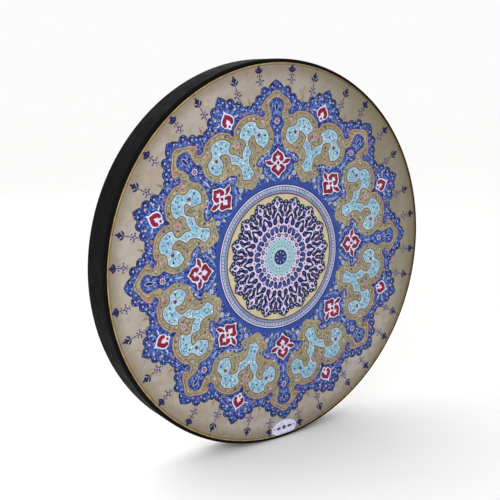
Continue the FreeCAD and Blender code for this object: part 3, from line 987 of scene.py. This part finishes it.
def print_finials():
    """The small spires on the bare skin, two kinds in turn, all round the star."""
    tall = [turn + side * 7 for turn in AXES for side in (-1, 1)]
    short = [turn + side * 16.3 for turn in AXES for side in (-1, 1)]
    head = grown(twin([
        (0, 254.6, CUSP), (1.4, 251.8), (1.5, 250.4), (3.3, 249.4), (3.6, 247.5), (1.8, 246.8),
        (1.4, 245.2), (0.5, 243.6), (0, 243),
    ]), 0.15)
    navy.lay(head, 1, tall, grain=1.4)
    navy.lay([spot + Vector((0, 5)) for spot in head], 1, short, grain=0.9)
    wing = [(0.3, 241.4, CUSP), (3, 242.2), (5.4, 244.2), (6.2, 247, CUSP), (3.8, 245.8), (1.8, 244)]
    wing = grown(smooth(wing), 0.12)
    navy.both(wing, 1, tall)
    navy.both([spot + Vector((0, 6.6)) for spot in wing], 1, short)
    navy.lay(ribbon([(0, 245), (0, 238), (0, 231), (0, 226)], 1, 0.5), 1, tall)
    navy.lay(ribbon([(0, 252), (0, 246), (0, 241), (0, 237)], 1, 0.5), 1, short)
    for y, turns in ((257.6, tall), (236.4, tall), (245.4, short)):
        navy.lay(oval(0, y, 0.95), 2, turns, grain=0.8)
    for x, y, size, turns in (
        (2.9, 232, 1.15, tall), (5, 227.4, 1.15, tall), (2.4, 221.6, 0.8, tall),
        (2.9, 244.4, 1.1, short), (5.6, 238.2, 1.15, short), (2.4, 233, 0.8, short),
    ):
        indigo.both(oval(x, y, size), 1, turns)
    for shift, turns in ((0, tall), (10.6, short)):
        for x, y, *size in ((0, 229.6, 1.3, 2.2), (2.2, 227.4, 1.1, 1.9, 60), (0, 224.4, 1, 2.4)):
            purple.both(oval(x, y + shift, *size), 2, turns)
        lilac.lay(oval(0, 227.4 + shift, 0.8), 3, turns)
        tan.lay(ribbon([(0, 222.6 + shift), (0, 219 + shift), (0, 215.4 + shift)], 0.6, 0.2), 1, turns)


def print_medallion_rings():
    """The plain and patterned rings round the medallion."""
    for ink, inner, outer in (
        (ring_blue, 100.6, 107.5), (navy, 99.2, 100.6), (lilac, 97.6, 99.2), (navy, 96.8, 97.6),
        (mist, 92.2, 96.8), (navy, 91.4, 92.2), (haze, 88.8, 91.4), (navy, 88.2, 88.8), (brown, 87, 88.2),
    ):
        ink.band(inner, outer, 10)
    bead = [3 * k for k in range(120)]
    white.lay(smooth([(0, 96), (1.7, 94.6), (0, 93), (-1.7, 94.6)]), 11, bead)
    navy.lay(oval(0, 94.5, 0.7, 0.9), 12, bead)
    navy.lay(oval(0, 94.5, 0.45, 1.7), 11, [turn + 1.5 for turn in bead])
    indigo.lay(oval(0, 90.1, 0.8, 0.5), 11, [2.5 * k for k in range(144)])


def print_rosette():
    """The net of navy scrolls in the medallion, sixteen times round."""
    cream.lay(oval(0, 0, 87, points=240), 10, ONCE)
    edge = star_of(16, [
        (0, 85.4, CUSP), (2.6, 84.2), (5.4, 82.2), (8.2, 80.4), (9.6, 78.2), (9.8, 75.2, CUSP),
        (10.4, 76.4), (12, 77.6), (14.2, 78.4), turned((0, 79.8), 11.25),
    ])
    midnight.lay(edge, 11, ROSETTE)
    net = star_of(16, [
        (0, 83.4, CUSP), (1, 82), (0.9, 80.6), (2.2, 78.4), (3.8, 76.2), (4.4, 74.4), (7.4, 73.9),
        (10, 73.7), turned((0, 73.2), 11.25),
    ])
    lilac.lay(net, 12, ROSETTE)
    light.both(oval(6.4, 77.9, 1.1), 12, TIPS)
    light.both(oval(2.8, 81.4, 0.6, 0.9, 40), 12, TIPS)
    midnight.lay(twin([(0, 78.8, CUSP), (2.2, 75.4), (0, 71.4, CUSP)]), 13, TIPS)
    brown.lay(oval(0, 75.2, 1.1, 1.6), 14, TIPS)
    scroll = smooth([
        (4.2, 72.6), (8, 72.9), (9.3, 70.6), (8, 68.2), (7, 66.4), (8, 63.6), (10.1, 60.9),
        (10.9, 58.2), (9.8, 55.8), (7.4, 55.3), (5.6, 57.5), (4.9, 60.6), (3.2, 62.8), (1.3, 64.3),
        (0.9, 67), (2.1, 69.3), (3.7, 70),
    ])
    midnight.both(grown(scroll, 0.1), 13, TIPS)
    mist.both(oval(3, 66.4, 0.8, 1.3), 14, TIPS)
    ring_blue.both(oval(6.4, 70.4, 1.4, 1.2), 14, TIPS)
    ring_blue.both(oval(8.2, 58.4, 1.3, 1.9), 14, TIPS)
    knob = [
        (0, 79.4, CUSP), (2.8, 78.2), (5, 76), (4.8, 73), (3.4, 70.5), (3.1, 67), (2.9, 64.3),
        (1.8, 62.3), (0, 61.6),
    ]
    midnight.lay(grown(twin(knob), -0.1), 13, KNOBS)
    ring_blue.lay(oval(0, 73.6, 2.7, 2.1), 14, KNOBS)
    lilac.lay(oval(0, 73.4, 0.9, 0.8), 15, KNOBS)
    tan.lay(oval(0, 68.4, 1.1, 1.7), 14, KNOBS)
    brown.lay(oval(0, 64.8, 1.2, 1), 14, KNOBS)
    cream.lay(oval(0, 77.2, 1, 0.8), 14, KNOBS)
    crown = [
        (0, 62.6, CUSP), (2.2, 60.6), (3.7, 57.7), (5.7, 55.6), (8.1, 53.6), (9.1, 50.4), (8.1, 47.1),
        (5.4, 45.9), (2.8, 47.2), (1.8, 50), (2.2, 53), (2, 55.6), (1.1, 57.6), (0, 58.4),
    ]
    midnight.lay(grown(twin(crown), 0.1), 13, TIPS)
    ring_blue.both(oval(5.5, 50.2, 1.7, 1.4), 14, TIPS)
    pink.lay(oval(0, 50.6, 1.2, 2.6), 13, TIPS)
    brown.lay(oval(0, 44.2, 1.4), 13, TIPS)
    for side in (-1, 1):
        midnight.lay(oval(3.6 * side, 38.8, 3.5, 5.1, -6 * side), 13, KNOBS)
        ring_blue.lay(oval(3.6 * side, 39.6, 2.2, 3.3, -6 * side), 14, KNOBS)
    brown.lay(oval(0, 43.2, 1.9, 1.1), 14, KNOBS)
    white.lay(oval(0, 37.4, 0.9, 2.2), 14, KNOBS)
    midnight.lay(oval(0, 30.9, 3.5, 2.6), 13, TIPS)
    lilac.both(oval(1.1, 30.9, 0.65, 0.8), 14, TIPS)
    purple.lay(oval(0, 31.6, 1.3), 13, KNOBS)
    rust.lay(oval(0, 27.4, 1), 13, KNOBS)


def print_eye():
    """The pale disc and dark flower at the drum's centre."""
    aqua.lay(oval(0, 0, 26, points=120), 15, ONCE)
    navy.lay(oval(0, 25.6, 1.2, 0.9), 16, TIPS)
    ring = [7.5 * k for k in range(48)]
    light.lay(oval(0, 23.2, 0.75), 16, ring)
    teal.lay(oval(0, 20.4, 0.55, 0.9), 16, [turn + 3.75 for turn in ring])
    light.lay(twin([(0, 19, CUSP), (1.1, 17), (0, 14.6, CUSP)]), 16, TIPS)
    teal.lay(twin([(0, 18, CUSP), (0.8, 16), (0, 13.4, CUSP)]), 16, KNOBS)
    indigo.lay(oval(0, 0, 10.6, points=72), 16, ONCE)
    navy.band(9.4, 10.6, 17)
    light.lay(twin([(0, 9, CUSP), (0.9, 6.8), (0, 4.6, CUSP)]), 17, [45 * k for k in range(8)])
    ring_blue.lay(petals(0, 0, 3.2, 8, 0.5), 17, ROSETTE)
    navy.lay(oval(0, 0, 1.1), 18, ONCE)


def print_stain():
    """A faint loop of vein in the bare skin, low on the left."""
    vein = Ink("skin_vein", ink_paint("Skin_vein", (158, 134, 104), (150, 128, 98)))
    loop = [(-233, -96), (-224, -90), (-214, -94), (-212, -106), (-219, -120), (-214, -134)]
    vein.lay(ribbon(loop, 1.6), 0.4, ONCE)
    vein.lay(ribbon([(-214, -134), (-204, -140), (-199, -150), (-202, -162)], 0.9), 0.4, ONCE)
    vein.finish()


# ---- Finishes for the pieces that come straight from the frame ----

def dress(names, paint):
    """Gives these CAD pieces one material."""
    for name in names:
        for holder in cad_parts[name].material_slots:
            holder.material = paint.material


make_head()
make_cover()
make_label()
make_stitches()
print_fields()
print_cartouches()
print_flowers()
print_border_scrolls()
print_ground_flowers()
print_stem_scrolls()
print_finials()
print_medallion_rings()
print_rosette()
print_eye()
print_stain()
for ink in INKS.values():
    ink.finish()

dress(["frame_hoop"], wood_paint())
dress(["hand_strap"], leather_paint())
dress(["strap_washers", "strap_screws"], brass_paint())
dress([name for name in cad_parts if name.startswith("ring_")], steel_paint())

# ---- Floor, light and camera ----

bpy.ops.mesh.primitive_plane_add(size=60, location=(0, 0, -0.0002))
floor = bpy.context.object
floor.name = "studio_floor"
floor.data.materials.append(floor_paint().material)


def placed(name, data, place, ahead):
    """A light or a camera that looks in a direction."""
    made = bpy.data.objects.new(name, data)
    made.location = place
    made.rotation_euler = Vector(ahead).to_track_quat("-Z", "Y").to_euler()
    bpy.context.scene.collection.objects.link(made)
    return made


def area_light(name, place, size, power):
    """A round soft light that faces the drum's middle."""
    data = bpy.data.lights.new(name, "AREA")
    data.shape = "DISK"
    data.size = size
    data.energy = power
    placed(name, data, place, Vector((0, 0, 0.25)) - Vector(place)).visible_camera = False


area_light("key", (-0.78, -0.56, 0.6), 0.6, 4.4)
area_light("back", (0.5, 1.9, 1.6), 1.8, 4)

# A pale studio: plain to well above the horizon, then brighter overhead behind the drum than in front
world = bpy.data.worlds.new("Studio")
world.use_nodes = True
room = Nodes(world.node_tree)
ways = room.node("SeparateXYZ", {0: room.node("TexCoord").outputs["Generated"]}).outputs
dome = room.ramp(ways[1], -0.35, 0.35, 0.42, 1.6)
background = world.node_tree.nodes["Background"].inputs
room.put(room.ramp(ways[2], 0.34, 0.62, 0.965, dome), background["Strength"])
room.put((1.0, 1.0, 1.0, 1.0), background["Color"])
bpy.context.scene.world = world
bpy.context.scene.view_settings.view_transform = "Standard"

camera_data = bpy.data.cameras.new("photo_view")
camera_data.lens = 59.5
camera = placed("photo_view", camera_data, (-0.6736, -0.8969, 0.5044), (0.5670, 0.7982, -0.2033))
bpy.context.scene.camera = camera
